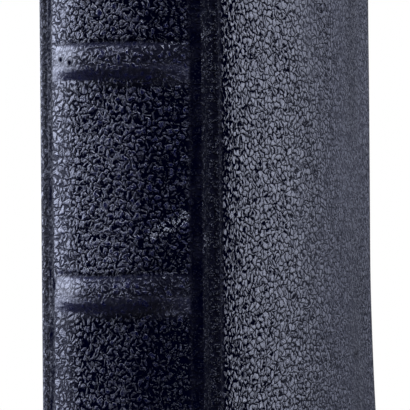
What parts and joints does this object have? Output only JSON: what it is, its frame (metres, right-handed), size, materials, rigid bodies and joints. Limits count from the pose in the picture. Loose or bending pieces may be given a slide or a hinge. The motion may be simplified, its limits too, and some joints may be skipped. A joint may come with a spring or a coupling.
{
  "type": "leather-bound book",
  "caption": "Closed hardback book in dark grained leather with raised bands on a rounded spine; both covers open on leather joints.",
  "frame": {"origin": "middle of the closed book's box, on the surface that its tail stands on", "axes": "+Z from tail to head; the spine faces -Y; the front cover is on +X"},
  "size_m": [0.0324, 0.1648, 0.24],
  "materials": {
    "leather": "satin",
    "leaf_paper": "matte",
    "endpaper": "matte",
    "lining_paper": "matte",
    "board": "matte",
    "cord": "matte",
    "silk": "satin"
  },
  "bodies": {
    "block": {"text_block": "leaf_paper", "front_flyleaf": "endpaper", "back_flyleaf": "endpaper", "spine_linings": "lining_paper", "spine_leather": "leather", "head_endband_core": "cord", "tail_endband_core": "cord", "head_endband_silk": "silk", "tail_endband_silk": "silk", "sewing_cord_1": "cord", "sewing_cord_2": "cord", "sewing_cord_3": "cord", "sewing_cord_4": "cord", "sewing_cord_5": "cord"},
    "front_cover": {"front_board": "board", "front_cord_slips": "cord", "front_leather": "leather", "front_infill": "lining_paper", "front_pastedown": "endpaper"},
    "back_cover": {"back_board": "board", "back_cord_slips": "cord", "back_leather": "leather", "back_infill": "lining_paper", "back_pastedown": "endpaper"}
  },
  "joints": [
    {"name": "front_cover_hinge", "type": "hinge", "parent": "block", "child": "front_cover", "pos_m": [0.0142, -0.07362, 0.12], "axis": [0, 0, -1], "range_deg": [0, 175]},
    {"name": "back_cover_hinge", "type": "hinge", "parent": "block", "child": "back_cover", "pos_m": [-0.0142, -0.07362, 0.12], "axis": [0, 0, 1], "range_deg": [0, 175]}
  ]
}
